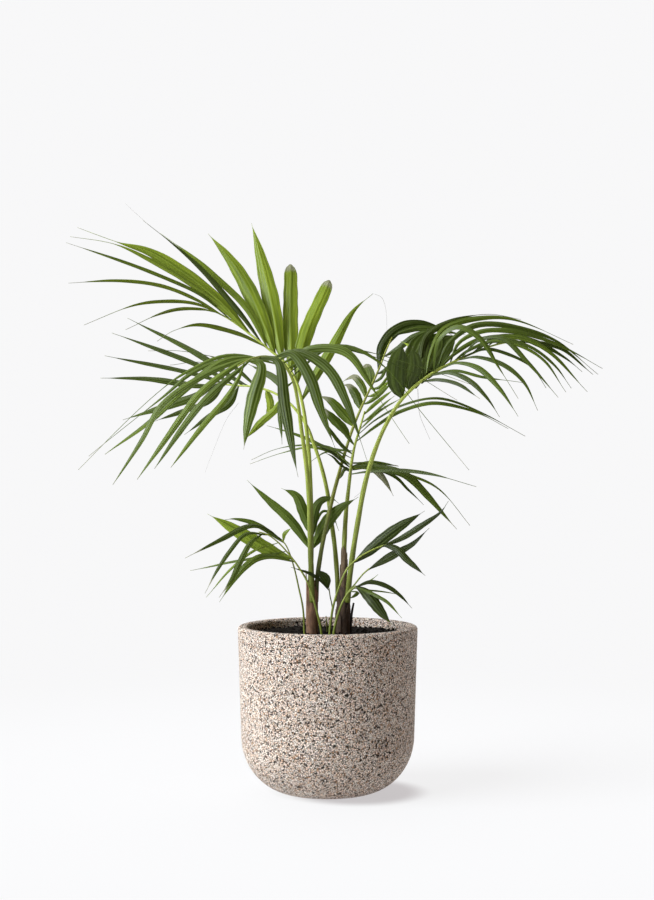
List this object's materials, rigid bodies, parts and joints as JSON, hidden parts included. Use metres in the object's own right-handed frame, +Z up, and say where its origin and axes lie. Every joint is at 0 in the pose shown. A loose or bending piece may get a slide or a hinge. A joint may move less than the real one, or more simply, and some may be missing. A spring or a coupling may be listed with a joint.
{
  "type": "potted palm",
  "caption": "Young feather-leaved palm with arching leaves, growing in a round-bottomed stone-aggregate planter.",
  "frame": {"origin": "centre of the planter's flat foot, on the surface it stands on", "axes": "+Z up the planter's axis; -Y is the side that most leaf faces look to; +X to the right seen from there"},
  "size_m": [0.899, 0.4, 0.968],
  "materials": {
    "pot": "washed stone aggregate in cement: cream, tan, brown and dark chips, matt",
    "soil": "dark crumbly potting soil",
    "trunk_left": "fibrous reddish-brown leaf bases",
    "trunk_right": "fibrous dark brown leaf bases",
    "sheath_young": "dry papery leaf base",
    "stub_dry": "dead dry stalk",
    "stub_green": "cut green stalk",
    "frond_front": "living green leaf, ribbed leaflets on a smooth yellow-green stalk",
    "frond_crown": "living green leaf, ribbed leaflets on a smooth yellow-green stalk",
    "frond_left": "living green leaf, ribbed leaflets on a smooth yellow-green stalk",
    "frond_middle": "living green leaf, ribbed leaflets on a smooth yellow-green stalk",
    "frond_young": "living green leaf, ribbed leaflets on a smooth yellow-green stalk",
    "frond_right": "living green leaf, ribbed leaflets on a smooth yellow-green stalk",
    "leaf_low_left": "living green leaf, ribbed leaflets on a smooth yellow-green stalk",
    "leaf_low_back": "living green leaf, ribbed leaflets on a smooth yellow-green stalk",
    "leaf_side_left": "living green leaf, ribbed leaflets on a smooth yellow-green stalk",
    "leaf_low_right": "living green leaf, ribbed leaflets on a smooth yellow-green stalk",
    "leaf_side_right": "living green leaf, ribbed leaflets on a smooth yellow-green stalk",
    "leaf_rim": "living green leaf, ribbed leaflets on a smooth yellow-green stalk",
    "leaf_tiny": "living green leaf, ribbed leaflets on a smooth yellow-green stalk"
  },
  "bodies": {
    "root": {"pot": "pot", "soil": "soil", "trunk_left": "trunk_left", "trunk_right": "trunk_right", "sheath_young": "sheath_young", "stub_dry": "stub_dry", "stub_green": "stub_green", "frond_front": "frond_front", "frond_crown": "frond_crown", "frond_left": "frond_left", "frond_middle": "frond_middle", "frond_young": "frond_young", "frond_right": "frond_right", "leaf_low_left": "leaf_low_left", "leaf_low_back": "leaf_low_back", "leaf_side_left": "leaf_side_left", "leaf_low_right": "leaf_low_right", "leaf_side_right": "leaf_side_right", "leaf_rim": "leaf_rim", "leaf_tiny": "leaf_tiny"}
  },
  "joints": []
}
